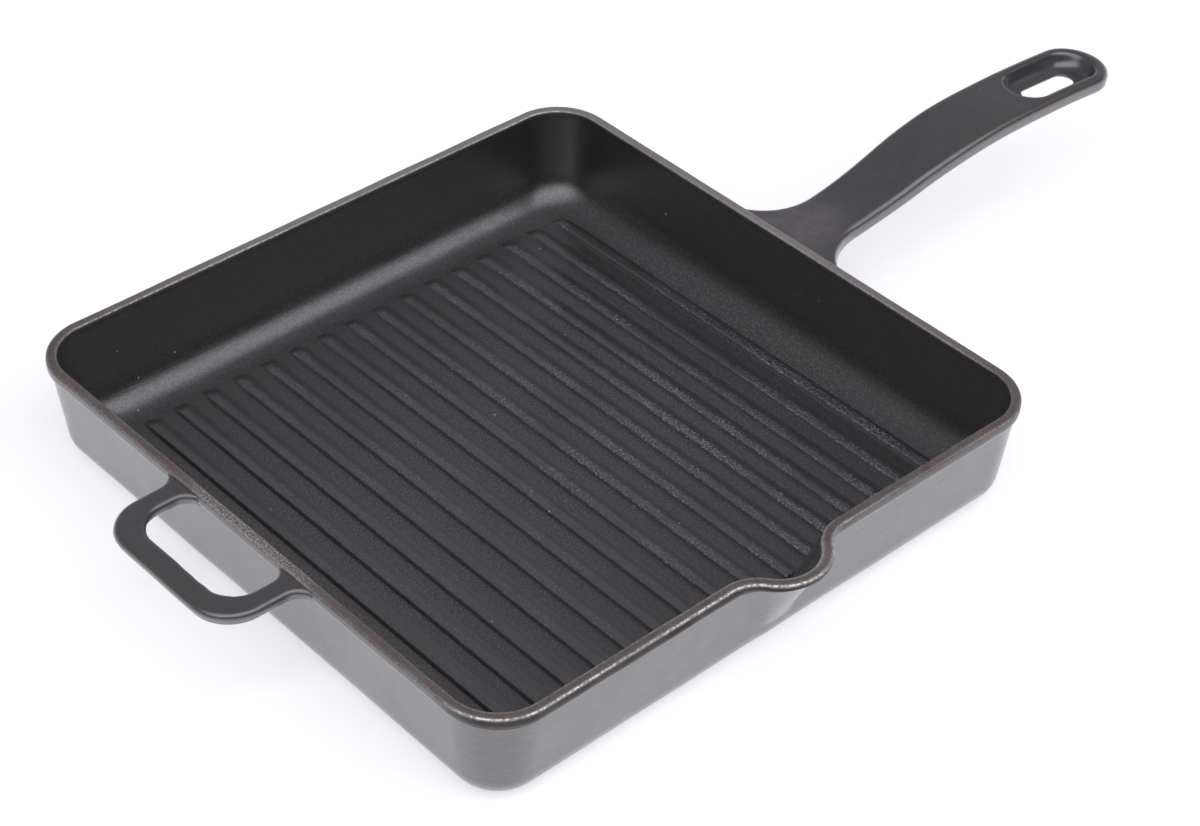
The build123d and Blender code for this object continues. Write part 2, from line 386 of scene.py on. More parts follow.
def build_ridges(finish):
    """Geometry Nodes shape one ridge, steep on one side and gentle on the other, and repeat it."""
    tree = bpy.data.node_groups.new("grill_ridges", "GeometryNodeTree")
    sizes = {"Count": 17, "First": -109.12 * MM, "Pitch": RIDGE_PITCH * MM,
             "Half length": 109.0 * MM, "Steep side": 1.3 * MM, "Gentle side": 7.3 * MM,
             "Shoulder share": 0.2, "Crest share": 0.21, "Height": 1.55 * MM, "Level": 3.66 * MM,
             "End round": 3.0 * MM, "Near slope": 2.0 * MM, "Far slope": 7.0 * MM,
             "Roughness": 0.45 * MM, "Seed": 7}
    ids = {}
    for label, value in sizes.items():
        kind = "NodeSocketInt" if isinstance(value, int) else "NodeSocketFloat"
        ids[label] = tree.interface.new_socket(label, in_out="INPUT", socket_type=kind).identifier
    tree.interface.new_socket("Geometry", in_out="OUTPUT", socket_type="NodeSocketGeometry")
    given = tree.nodes.new("NodeGroupInput").outputs

    def step(kind, inputs=None):
        return add_node(tree, "GeometryNode" + kind, inputs).outputs[0]

    def vector(**parts):
        return add_node(tree, "ShaderNodeCombineXYZ", parts).outputs[0]

    grid = step("MeshGrid", {"Size X": 2.0, "Size Y": 2.0, "Vertices X": 21, "Vertices Y": 141})
    spot = split(step("InputPosition"))
    # Rows crowd together at the ends, where the ridge rounds off
    y = product(sums("SINE", product(spot["Y"], pi / 2)), given["Half length"])
    past = sums("SUBTRACT", sums("ABSOLUTE", y),
                sums("SUBTRACT", given["Half length"], given["End round"]))
    past = sums("DIVIDE", sums("MAXIMUM", past, 0.0), given["End round"])
    width = sums("SUBTRACT", 1.0, product(past, past))
    width = sums("SQRT", sums("MAXIMUM", width, 0.0))
    # Columns crowd together at the feet. One side stands steep and the other runs out to the floor
    turned = sums("SINE", product(spot["X"], pi / 2))
    steep = sums("MAXIMUM", product(turned, -1.0), 0.0)
    gentle = sums("MAXIMUM", turned, 0.0)
    x = sums("SUBTRACT", product(gentle, given["Gentle side"]),
             product(steep, given["Steep side"]))
    x = product(x, width)
    # The gentle side falls halfway between a straight slope and an eased one
    slope = (gentle, given["Crest share"], 1.0, 1.0, 0.0)
    run_out = product(0.5, sums("ADD", between(*slope), eased(*slope)))
    rise = product(eased(steep, given["Shoulder share"], 1.0, 1.0, 0.0), run_out)
    rise = product(rise, given["Height"])
    # The crest runs out steeply at the pouring lip's end and gently at the other
    for slope, operation in (("Near slope", "ADD"), ("Far slope", "SUBTRACT")):
        left = sums(operation, given["Half length"], y)
        rise = product(rise, eased(left, 0.0, given[slope]))
    top = step("SetPosition", {"Geometry": grid, "Position": vector(X=x, Y=y, Z=rise)})
    under = step("SetPosition", {"Geometry": grid, "Position": vector(X=x, Y=y)})
    both = tree.nodes.new("GeometryNodeJoinGeometry")
    for side in (top, step("FlipFaces", {"Mesh": under})):
        tree.links.new(side, both.inputs[0])
    ridge = step("MergeByDistance", {"Geometry": both.outputs[0], "Distance": 0.004 * MM})
    row = step("MeshLine", {
        "Count": given["Count"], "Start Location": vector(X=given["First"], Z=given["Level"]),
        "Offset": vector(X=given["Pitch"])})
    laid = step("InstanceOnPoints", {"Points": row, "Instance": ridge})
    solid = step("RealizeInstances", {"Geometry": laid})
    # A rough casting: the points wander, more the higher they stand over the floor
    cast = add_node(tree, "ShaderNodeTexNoise", {
        "Vector": step("InputPosition"), "W": given["Seed"], "Scale": 420.0, "Detail": 2.0},
        noise_dimensions="4D")
    wander = add_node(tree, "ShaderNodeVectorMath", {
        0: cast.outputs["Color"], 1: (0.5, 0.5, 0.5)}, operation="SUBTRACT")
    height = sums("SUBTRACT", split(step("InputPosition"))["Z"], given["Level"])
    raised = sums("DIVIDE", height, given["Height"], clamp=True)
    wander = add_node(tree, "ShaderNodeVectorMath", {
        0: wander.outputs[0], "Scale": product(raised, given["Roughness"])},
        operation="SCALE")
    rough = step("SetPosition", {"Geometry": solid, "Offset": wander.outputs[0]})
    smooth = step("SetShadeSmooth", {"Geometry": rough})
    painted = step("SetMaterial", {"Geometry": smooth, "Material": finish})
    give(tree.nodes.new("NodeGroupOutput"), {0: painted})

    maker = put_in_scene("ridge_maker", bpy.data.meshes.new("ridge_maker"))
    modifier = maker.modifiers.new("ridges", "NODES")
    modifier.node_group = tree
    for label, value in sizes.items():
        modifier[ids[label]] = value
    seen = maker.evaluated_get(bpy.context.evaluated_depsgraph_get())
    mesh = bpy.data.meshes.new_from_object(seen)
    mesh.name = "iron_ridges"
    bpy.data.objects.remove(maker)
    return put_in_scene("iron_ridges", mesh)


# ------------------------ handles

def arc_points(centre, radius, start, end, count):
    """Points of an arc in plan, angles in degrees."""
    angle = np.radians(np.linspace(start, end, count))
    return np.array(centre) + radius * np.stack([np.cos(angle), np.sin(angle)], 1)


def even_loop(points, step):
    """The closed loop again, with its points a step apart."""
    points = np.asarray(points, float)
    closed = np.vstack([points, points[:1]])
    run = np.concatenate([[0], np.cumsum(np.linalg.norm(np.diff(closed, axis=0), axis=1))])
    spots = np.arange(int(run[-1] / step)) * run[-1] / int(run[-1] / step)
    return np.column_stack([np.interp(spots, run, closed[:, axis]) for axis in (0, 1)])


def left_of(loop):
    """The unit direction to the left of the loop at each point, which is where its metal is."""
    along = np.roll(loop, -1, axis=0) - np.roll(loop, 1, axis=0)
    along /= np.linalg.norm(along, axis=1)[:, None]
    return np.column_stack([-along[:, 1], along[:, 0]])


def loop_distance(points, loop):
    """Distance from each point to a closed loop."""
    start, end = loop, np.roll(loop, -1, axis=0)
    run = end - start
    best = np.full(len(points), 1e9)
    for chunk in range(0, len(points), 1500):
        spots = points[chunk:chunk + 1500, None, :]
        share = ((spots - start) * run).sum(2) / (run**2).sum(1)
        near = start + np.clip(share, 0, 1)[:, :, None] * run
        best[chunk:chunk + 1500] = np.sqrt(((spots - near) ** 2).sum(2).min(1))
    return best


def within(points, loop):
    """True for each point inside a closed loop."""
    start, end = loop, np.roll(loop, -1, axis=0)
    crossings = np.zeros(len(points), int)
    for (ax, ay), (bx, by) in zip(start, end):
        if ay != by:
            spans = (points[:, 1] < ay) != (points[:, 1] < by)
            crossings += spans & (points[:, 0] < ax + (points[:, 1] - ay) * (bx - ax) / (by - ay))
    return crossings % 2 == 1


def segment_distance(points, start_x, end_x):
    """Distance from each plan point to a segment of the centre line."""
    beyond = points[:, 0] - np.clip(points[:, 0], start_x, end_x)
    return np.hypot(beyond, points[:, 1])


def edge_drop(distance, radius):
    """How far a rounded edge has dropped at a distance in from the outline."""
    gap = np.clip(radius - distance, 0, radius)
    return radius - np.sqrt(np.maximum(radius**2 - gap**2, 0))


# The places of the net's rows in from an outline, as shares of its edge's radius
EDGE_SHARES = (0.015, 0.07, 0.17, 0.32, 0.52, 0.76, 1.0, 1.5)


def sheet_of_plate(loops, radii, spacing, extra=(), keep_clear=None):
    """A flat triangle net inside the loops, close together along every rounded edge."""
    boundary = np.concatenate(loops)
    spots = []
    for loop, radius in zip(loops, radii):
        aside = left_of(loop)
        for share in EDGE_SHARES:
            ring = loop + aside * radius * share
            away = np.min([loop_distance(ring, other) for other in loops], axis=0)
            spots.append(ring[away > radius * share - 0.02])
    lowest, highest = boundary.min(0), boundary.max(0)
    columns = np.arange(lowest[0], highest[0], spacing * 0.866)
    field = [(x, y) for number, x in enumerate(columns)
             for y in np.arange(lowest[1] + spacing / 2 * (number % 2), highest[1], spacing)]
    field = np.array(field)
    away = np.min([loop_distance(field, loop) - EDGE_SHARES[-1] * radius
                   for loop, radius in zip(loops, radii)], axis=0)
    field = field[away > spacing * 0.45]
    if keep_clear is not None:
        field = field[keep_clear(field)]
    spots += [field, *extra]
    spots = np.concatenate(spots)
    spots = spots[within(spots, loops[0])]
    for hole in loops[1:]:
        spots = spots[~within(spots, hole)]
    points = np.concatenate([boundary, spots])
    edges, start = [], 0
    for loop in loops:
        edges += [(start + k, start + (k + 1) % len(loop)) for k in range(len(loop))]
        start += len(loop)
    made = geometry.delaunay_2d_cdt([Vector(p) for p in points], edges, [], 1, 1e-6)
    verts = np.array([tuple(v) for v in made[0]])
    faces = np.array([f for f in made[2] if len(f) == 3])
    middle = verts[faces].mean(axis=1)
    kept = within(middle, loops[0])
    for hole in loops[1:]:
        kept &= ~within(middle, hole)
    places = {}
    for new, olds in enumerate(made[3]):
        for old in olds:
            places.setdefault(old, new)
    return verts, faces[kept].tolist(), [places[k] for k in range(len(boundary))]


def rounded(points, loops, radii, wear_reach):
    """How far each point has dropped over the rounded edges, and how worn it is there."""
    drop, worn = np.zeros(len(points)), np.zeros(len(points))
    for loop, radius in zip(loops, radii):
        away = loop_distance(points, loop)
        drop = np.maximum(drop, edge_drop(away, radius))
        worn = np.maximum(worn, np.clip(wear_reach - away / radius, 0, 1))
    return drop, worn


def build_plate(name, loops, top_radii, bottom_radii, thickness, draft, place, spacing,
                drop=None, extra=(), keep_clear=None, rise=None):
    """A cast plate with rounded edges. Its worn value is 1 along them.

    place(plan, depth) sets a plan point at a depth below the top. drop is the depth of a hollow in
    the top, and rise is how far the underside comes down."""
    low_loops = [loop + left_of(loop) * draft for loop in loops]
    top, top_faces, top_edge = sheet_of_plate(loops, top_radii, spacing, extra, keep_clear)
    low, low_faces, low_edge = sheet_of_plate(low_loops, bottom_radii, spacing * 1.3)
    depth, worn = rounded(top, loops, top_radii, 1.4)
    if drop is not None:
        # Past every rounded edge the hollow's depth holds alone
        inner = np.all([loop_distance(top, loop) > radius
                        for loop, radius in zip(loops, top_radii)], axis=0)
        depth = np.where(inner, drop(top), np.maximum(depth, drop(top)))
    lift, low_worn = rounded(low, low_loops, bottom_radii, 1.2)
    if rise is not None:
        lift = lift - rise(low)
    points = np.concatenate([place(top, depth), place(low, thickness - lift)])
    faces = [tuple(f) for f in top_faces]
    faces += [tuple(k + len(top) for k in reversed(f)) for f in low_faces]
    start = 0
    for loop in loops:
        ring = range(start, start + len(loop))
        for k, n in zip(ring, [*ring[1:], ring[0]]):
            faces.append((top_edge[n], top_edge[k], len(top) + low_edge[k], len(top) + low_edge[n]))
        start += len(loop)
    return make_piece(name, points, faces, {"worn": np.concatenate([worn, low_worn])})


# Long handle. The sizes are the CAD's, but for rounder edges and a rounder dish.
HANDLE_TOP = 42.8
HANDLE_THICKNESS = 7.4
HANDLE_BURIED = 126.2
HANDLE_ROOT = 127.35
NECK_START, NECK_HALF, ROOT_RADIUS, ROOT_ANGLE = 153.35, 13.1, 26.0, 60.0
GRIP_START, GRIP_HALF, GRIP_END = 223.35, 15.3, 293.0
RISE_RADIUS, CROWN_RADIUS, FALL_RADIUS, RISE_ANGLE = 240.0, 205.0, 600.0, radians(14.5)
HANDLE_EDGE, HANDLE_UNDER_EDGE = 2.9, 2.5
DISH_START, DISH_END, DISH_HALF, DISH_DEPTH = 266.6, 291.8, 11.1, 6.4
DISH_WALL = radians(70.0)
DISH_LIP_RADIUS, DISH_FLOOR_RADIUS = 2.2, 4.8
SLOT_START, SLOT_END, SLOT_HALF = 269.4, 289.0, 4.4
SLOT_EDGE, SLOT_UNDER_EDGE = 0.35, 0.3
ROOT_FILLET, ROOT_FILLET_REACH = 1.6, 4.5
# Steps between the points of its outline, slot and dish, and of the net over it
HANDLE_STEP, SLOT_STEP, DISH_STEP, HANDLE_NET = 1.1, 0.9, 1.0, 1.7
# The depth of its swell, that swell's length and seed, and where along the root it comes in
HANDLE_SWELL_DEPTH, HANDLE_SWELL = 0.1, (30.0, 23)
SWELL_START, SWELL_END = 140.0, 155.0


def handle_line(x):
    """Height and lean of the long handle's top, seen from the side."""
    rise_end = HANDLE_ROOT + RISE_RADIUS * sin(RISE_ANGLE)
    rise_top = HANDLE_TOP + RISE_RADIUS * (1 - cos(RISE_ANGLE))
    crown_end = rise_end + CROWN_RADIUS * sin(RISE_ANGLE)
    crown_top = rise_top + CROWN_RADIUS * (1 - cos(RISE_ANGLE))
    lean_rise = np.arcsin(np.clip((x - HANDLE_ROOT) / RISE_RADIUS, 0, sin(RISE_ANGLE)))
    lean_crown = np.arcsin(np.clip((crown_end - x) / CROWN_RADIUS, 0, sin(RISE_ANGLE)))
    lean_fall = -np.arcsin(np.clip((x - crown_end) / FALL_RADIUS, 0, 0.9))
    rise = HANDLE_TOP + RISE_RADIUS * (1 - np.cos(lean_rise))
    crown = crown_top - CROWN_RADIUS * (1 - np.cos(lean_crown))
    fall = crown_top - FALL_RADIUS * (1 - np.cos(lean_fall))
    height = np.where(x < rise_end, rise, np.where(x < crown_end, crown, fall))
    lean = np.where(x < rise_end, lean_rise, np.where(x < crown_end, lean_crown, lean_fall))
    return height, lean


def place_on_handle(plan, depth):
    """Sets a plan point at a depth square to the long handle's curved top."""
    height, lean = handle_line(plan[:, 0])
    points = np.column_stack([plan[:, 0] + depth * np.sin(lean), plan[:, 1],
                              height - depth * np.cos(lean)])
    share = np.clip((plan[:, 0] - SWELL_START) / (SWELL_END - SWELL_START), 0, 1)
    points[:, 2] -= HANDLE_SWELL_DEPTH * swell(points, *HANDLE_SWELL) * share
    return points


def dish_profile():
    """Radius and depth pairs down the dish's side: soft edge, steep wall, round bottom."""
    turn = np.linspace(0, DISH_WALL, 8)
    edge_out = DISH_HALF + DISH_LIP_RADIUS * tan(DISH_WALL / 2) * 0.8
    pairs = [(edge_out - DISH_LIP_RADIUS * sin(a), DISH_LIP_RADIUS * (1 - cos(a))) for a in turn]
    foot_depth = DISH_DEPTH - DISH_FLOOR_RADIUS * (1 - cos(DISH_WALL))
    radius, depth = pairs[-1]
    foot_radius = radius - (foot_depth - depth) / tan(DISH_WALL)
    pairs.append(((radius + foot_radius) / 2, (depth + foot_depth) / 2))
    centre = foot_radius - DISH_FLOOR_RADIUS * sin(DISH_WALL)
    pairs += [(centre + DISH_FLOOR_RADIUS * sin(a), DISH_DEPTH - DISH_FLOOR_RADIUS * (1 - cos(a)))
              for a in np.linspace(DISH_WALL, 0, 9)]
    return np.array(pairs)


def stadium(start_x, end_x, radius, step, clockwise=False):
    """A loop round a segment of the centre line."""
    loop = np.concatenate([arc_points((end_x, 0), radius, -90, 90, 40),
                           arc_points((start_x, 0), radius, 90, 270, 40)])
    loop = even_loop(loop, step)
    return loop[::-1] if clockwise else loop


def build_long_handle():
    """The long handle, flared into the wall, with the dished hanging slot near its end."""
    flare = arc_points((NECK_START, NECK_HALF + ROOT_RADIUS), ROOT_RADIUS,
                       270 - ROOT_ANGLE, 270, 30)
    run = flare[0, 0] - HANDLE_BURIED
    start = (HANDLE_BURIED, flare[0, 1] + run * tan(radians(ROOT_ANGLE)))
    share = np.linspace(0, 1, 40)
    neck = np.column_stack([NECK_START + (GRIP_START - NECK_START) * share,
                            NECK_HALF + (GRIP_HALF - NECK_HALF) * share**2 * (3 - 2 * share)])
    upper = np.vstack([start, flare, neck[1:], [(GRIP_END, GRIP_HALF)]])
    tip = arc_points((GRIP_END, 0), GRIP_HALF, 90, -90, 50)
    whole = np.vstack([upper, tip[1:-1], upper[::-1] * (1, -1)])
    outline = even_loop(whole[::-1], HANDLE_STEP)
    slot = stadium(SLOT_START, SLOT_END, SLOT_HALF, SLOT_STEP, clockwise=True)
    profile = dish_profile()
    rings = [stadium(DISH_START, DISH_END, radius, DISH_STEP) for radius, _ in profile[:-1]]
    widest = profile[0, 0]

    def drop(plan):
        away = segment_distance(plan, DISH_START, DISH_END)
        floor = segment_distance(plan, SLOT_START, SLOT_END) - SLOT_HALF
        return np.interp(away, profile[::-1, 0], profile[::-1, 1]) + edge_drop(floor, SLOT_EDGE)

    def keep_clear(plan):
        return segment_distance(plan, DISH_START, DISH_END) > widest + 0.6

    def root_fillet(plan):
        near = np.clip(1 - (plan[:, 0] - HANDLE_ROOT) / ROOT_FILLET_REACH, 0, 1)
        return ROOT_FILLET * near ** 2

    return build_plate("iron_long_handle", [outline, slot], [HANDLE_EDGE, SLOT_EDGE],
                       [HANDLE_UNDER_EDGE, SLOT_UNDER_EDGE], HANDLE_THICKNESS, 0.0, place_on_handle,
                       HANDLE_NET, drop=drop, extra=rings, keep_clear=keep_clear,
                       rise=root_fillet)


# Helper handle. The sizes are the CAD's, but for roots that flare further along the wall.
HELPER_TOP, HELPER_THICKNESS, HELPER_BURIED = 42.7, 5.6, -126.2
# Outside and in its opening: the bar's place, the half width, the corner's and the root's radius
HELPER_OUTSIDE = (-162.8, 35.5, 16.0, 6.5)
HELPER_OPENING = (-153.2, 26.8, 11.0, 6.0)
HELPER_ROOT_LINE = -130.1
HELPER_BURIED_FLARE = 1.5
HELPER_DRAFT = 0.787
HELPER_EDGE = 2.1
HELPER_STEP, HELPER_NET = 0.9, 1.5
HELPER_SWELL_DEPTH, HELPER_SWELL = 0.25, (26.0, 31)
# Waves in the bar's inner edge: where they come in, are full, end to the sides and stop
WAVE_DEPTH, WAVE_SWELL = 0.55, (11.0, 5)
WAVE_START, WAVE_FULL, WAVE_HALF, WAVE_BACK = -145.0, -153.0, 24.0, -160.0


def place_on_helper(plan, depth):
    """Sets a plan point at a depth below the flat top of the helper handle."""
    points = np.column_stack([plan, HELPER_TOP - depth])
    points[:, 2] -= HELPER_SWELL_DEPTH * (swell(points, *HELPER_SWELL) - 0.1)
    return points


def helper_side(bar, half, corner_radius, root, outwards, root_count, corner_count):
    """Half of one outline of the helper handle, from inside the wall to the corner at its bar."""
    flare = arc_points((HELPER_ROOT_LINE - root, half + outwards * root), root,
                       -12 * outwards, -90 * outwards, root_count)
    corner = arc_points((bar + corner_radius, half - corner_radius), corner_radius,
                        90, 180, corner_count)
    buried = (HELPER_BURIED, flare[0, 1] + outwards * HELPER_BURIED_FLARE)
    return np.vstack([buried, flare, corner])


def build_helper_handle():
    """The looped helper handle, with the slightly wavy inner edge of its bar."""
    outer = helper_side(*HELPER_OUTSIDE, 1, 14, 24)
    inner = helper_side(*HELPER_OPENING, -1, 13, 18)
    whole = np.vstack([outer, outer[::-1] * (1, -1), inner * (1, -1), inner[::-1]])
    loop = even_loop(whole, HELPER_STEP)
    spots = np.column_stack([loop, np.zeros(len(loop))])
    bar = np.clip((WAVE_START - loop[:, 0]) / (WAVE_START - WAVE_FULL), 0, 1)
    bar = bar * (np.abs(loop[:, 1]) < WAVE_HALF) * (loop[:, 0] > WAVE_BACK)
    waves = WAVE_DEPTH * (swell(spots, *WAVE_SWELL) - 0.4) * bar
    loop = loop + left_of(loop) * waves[:, None]
    return build_plate("iron_helper_handle", [loop], [HELPER_EDGE], [HELPER_EDGE],
                       HELPER_THICKNESS, HELPER_DRAFT, place_on_helper, HELPER_NET)


# ------------------------ finishes

# Colours of the enamel and of the iron where it shows
LIGHT_SPECK = (0.5, 0.48, 0.46)
RIDGE_SPECK = (0.5, 0.5, 0.5)
STREAK_GREY = (0.045, 0.043, 0.046)
SCOURED_GREY = (0.068, 0.064, 0.068)
# Painted light: the lighter grey of the long handle's root
PAINTED_ROOT_LIGHT_GREY = (0.078, 0.075, 0.079)
WORN_BROWN = (0.045, 0.032, 0.027)
THIN_BROWN = (0.03, 0.02, 0.017)
RIM_THIN_BROWN = (0.03, 0.0205, 0.0175)
RIM_ENAMEL = (0.018, 0.0172, 0.0185)
RIM_INSIDE = (0.0095, 0.0088, 0.0092)
LAND_BROWNS = ((0.088, 0.069, 0.064), (0.122, 0.098, 0.09))
LAND_FAR = (0.25, 0.236, 0.232)
LAND_GRAIN = (0.24, 0.205, 0.19)
LAND_HELD = (0.46, 0.445, 0.435)
BARE_ARRIS = (0.6, 0.58, 0.57)
# Worn crests: partly bare metal and partly painted glint
WORN_CREST_AND_GLINT = (0.26, 0.253, 0.266)
# Ridge tones: painted shade at the feet and painted sheen on the crests
RIDGE_SHADED_FOOT_TONES = ((0.008, 0.0072, 0.0078), (0.012, 0.011, 0.012))
RIDGE_LIT_CREST_TONES = ((0.013, 0.0123, 0.0135), (0.018, 0.017, 0.0188))
# A painted pool of light on the long handle's root, and how near it spreads; and where hands rub
# the rim beside the helper handle, and how near
ROOT_LIGHT_SPOT, ROOT_LIGHT_REACH = (0.139, 0.004, 0.043), (0.026, 0.008)
HELD_SPOT, HELD_REACH = (-0.128, -0.004, 0.0435), (0.018, 0.045)
# Where a change of finish starts and ends, in metres along Y, X, Y, X + Y, X, and up
THIN_Y, THIN_X = (-0.098, -0.122), (0.035, -0.01)
# SCOURING_AND_SHADE_Y sets where the floor's grey grains thin out into painted shade towards the
# coves
SCOURING_AND_SHADE_Y, FAR_LAND, WORN_AND_GLINT_CRESTS_X = (0.03, 0.11), (0.0, 0.12), (-0.1, 0.1)
FLOOR_Z, COVE_Z = (12.0 * MM, 5.0 * MM), (20.0 * MM, 15.0 * MM)
CREST_Z = (4.2 * MM, 4.85 * MM)
# Sizes of the patterns
GRAIN_SCALE, GRAIN_DEPTH = 1350.0, 0.1 * MM
RIPPLE_SCALE, RIPPLE_DEPTH = 210.0, 0.16 * MM
SPECK_SIZE = 0.07


def new_finish(name):
    """An empty material with its Principled shader and Object coordinates."""
    finish = bpy.data.materials.new(name)
    finish.use_nodes = True
    tree = finish.node_tree
    where = tree.nodes.new("ShaderNodeTexCoord").outputs["Object"]
    return finish, tree, tree.nodes["Principled BSDF"], where


def noise(where, scale, detail, roughness):
    """One noise pattern's value."""
    return add_node(where.id_data, "ShaderNodeTexNoise", {
        "Vector": where, "Scale": scale, "Detail": detail, "Roughness": roughness}).outputs["Fac"]


def patchy(where, scale, *ranges, detail=3.0, roughness=0.6):
    """A noise pattern with its range turned into another."""
    return between(noise(where, scale, detail, roughness), *ranges)


def mix_colour(share, first, second):
    """The second colour over the first by a share. A colour is three numbers or an output."""
    first, second = (colour if is_output(colour) else (*colour, 1.0) for colour in (first, second))
    return add_node(share.id_data, "ShaderNodeMix", {0: share, 6: first, 7: second},
                    data_type="RGBA").outputs[2]


def attribute(tree, name):
    """A value stored on the piece's points."""
    return add_node(tree, "ShaderNodeAttribute", attribute_name=name).outputs["Fac"]


def measured(operation, first, second=(0.0, 0.0, 0.0)):
    """The length, distance or dot product of vectors."""
    return add_node(first.id_data, "ShaderNodeVectorMath", {0: first, 1: second},
                    operation=operation).outputs["Value"]


def specks(where, scale, share):
    """Sparse specks: 1 on a speck, 0 between them. The share is that of cells with a speck."""
    tree = where.id_data
    cells = add_node(tree, "ShaderNodeTexVoronoi", {"Vector": where, "Scale": scale})
    chosen = add_node(tree, "ShaderNodeSeparateColor", {"Color": cells.outputs["Color"]})
    picked = between(chosen.outputs[0], 1 - share, 1 - share + 0.01)
    return product(picked, between(cells.outputs["Distance"], SPECK_SIZE, SPECK_SIZE * 0.6))


def grain_bump(where, shader, strength, ripples=0.5):
    """The fine pebbled grain of the fired enamel, over ripples that run level round the walls."""
    tree = where.id_data
    fine = noise(where, GRAIN_SCALE, 2.0, 0.65)
    level = add_node(tree, "ShaderNodeMapping", {"Vector": where, "Scale": (1.0, 1.0, 4.5)})
    broad = noise(level.outputs[0], RIPPLE_SCALE, 3.0, 0.55)
    ripple = add_node(tree, "ShaderNodeBump", {
        "Strength": ripples, "Distance": RIPPLE_DEPTH, "Height": broad})
    grain = add_node(tree, "ShaderNodeBump", {
        "Strength": strength, "Distance": GRAIN_DEPTH, "Height": fine,
        "Normal": ripple.outputs[0]})
    give(shader, {"Normal": grain.outputs[0]})
    return fine, broad


def thin_enamel(where):
    """1 where brown shows through thin enamel: from the pouring lip to the corner at -X."""
    spot = split(where)
    near = eased(spot["Y"], *THIN_Y)
    left = eased(spot["X"], *THIN_X, 0.25, 1.0)
    return product(near, left, patchy(where, 60.0, 0.3, 0.6, 0.75, 1.0))


def scouring_and_cove_shade(where):
    """How far the floor is scoured grey: most in the middle, and thinned out to painted shade at
    the near and far coves.
    """
    along = sums("ABSOLUTE", split(where)["Y"])
    return between(along, *SCOURING_AND_SHADE_Y, 0.95, 0.25)


def enamel_finish(name, tones, streak_share=0.9, brown_edges=0.0, groove_tone=None):
    """Matt black enamel: fine grain, broad mottling, sparse light specks, brown wear on edges, grey
    grains on the floor thinned to painted shade towards the coves, and a painted pool of light on
    the long handle's root.
    """
    finish, tree, shader, where = new_finish(name)
    colour = mix_colour(patchy(where, 45.0, 0.35, 0.65, roughness=0.55), *tones)
    inside = attribute(tree, "inside")
    if groove_tone is not None:
        colour = mix_colour(inside, colour, groove_tone)
    fine, broad = grain_bump(where, shader, between(inside, 0.0, 1.0, 0.3, 1.0),
                             0.15 if brown_edges else 0.5)
    # Grey streaks outside, and grey grains that scouring leaves on the floor, thinned towards the
    # coves as painted shade
    streaks = product(between(broad, 0.42, 0.66), between(inside, 0.0, 1.0, streak_share, 0.0))
    colour = mix_colour(streaks, colour, STREAK_GREY)
    level = split(where)["Z"]
    on_floor = product(between(level, *FLOOR_Z, 0.15, 1.0), inside, scouring_and_cove_shade(where))
    on_floor = sums("MAXIMUM", on_floor, product(inside, 0.2))
    pepper = product(between(fine, 0.5, 0.62), sums("MAXIMUM", on_floor, 0.12))
    colour = mix_colour(pepper, colour, SCOURED_GREY)
    if brown_edges:
        worn = product(attribute(tree, "worn"), patchy(where, 110.0, 0.36, 0.6), brown_edges)
        colour = mix_colour(worn, colour, WORN_BROWN)
        # A painted pool of light: the long handle's root is painted a lighter grey
        root_light = eased(measured("DISTANCE", where, ROOT_LIGHT_SPOT), *ROOT_LIGHT_REACH)
        root_light = product(root_light, patchy(where, 240.0, 0.3, 0.6, 0.4, 1.0))
        colour = mix_colour(root_light, colour, PAINTED_ROOT_LIGHT_GREY)
    brown = product(attribute(tree, "flank"), thin_enamel(where))
    colour = mix_colour(brown, colour, THIN_BROWN)
    colour = mix_colour(specks(where, 170.0, 0.09), colour, LIGHT_SPECK)
    # There is less gloss where the enamel is thin, and between the grains in the cove and below
    grain = product(between(fine, 0.42, 0.6, 0.45, 0.0), product(inside, between(level, *COVE_Z)))
    coat = sums("SUBTRACT", between(brown, 0.0, 1.0, 1.0, 0.1), grain, clamp=True)
    rough = sums("ADD", patchy(where, 70.0, 0.3, 0.7, 0.3, 0.4), product(brown, 0.45))
    give(shader, {"Base Color": colour, "Roughness": rough, "Coat Weight": coat,
                  "Specular IOR Level": 1.0, "Coat Roughness": 0.32, "Coat IOR": 1.75})
    return finish


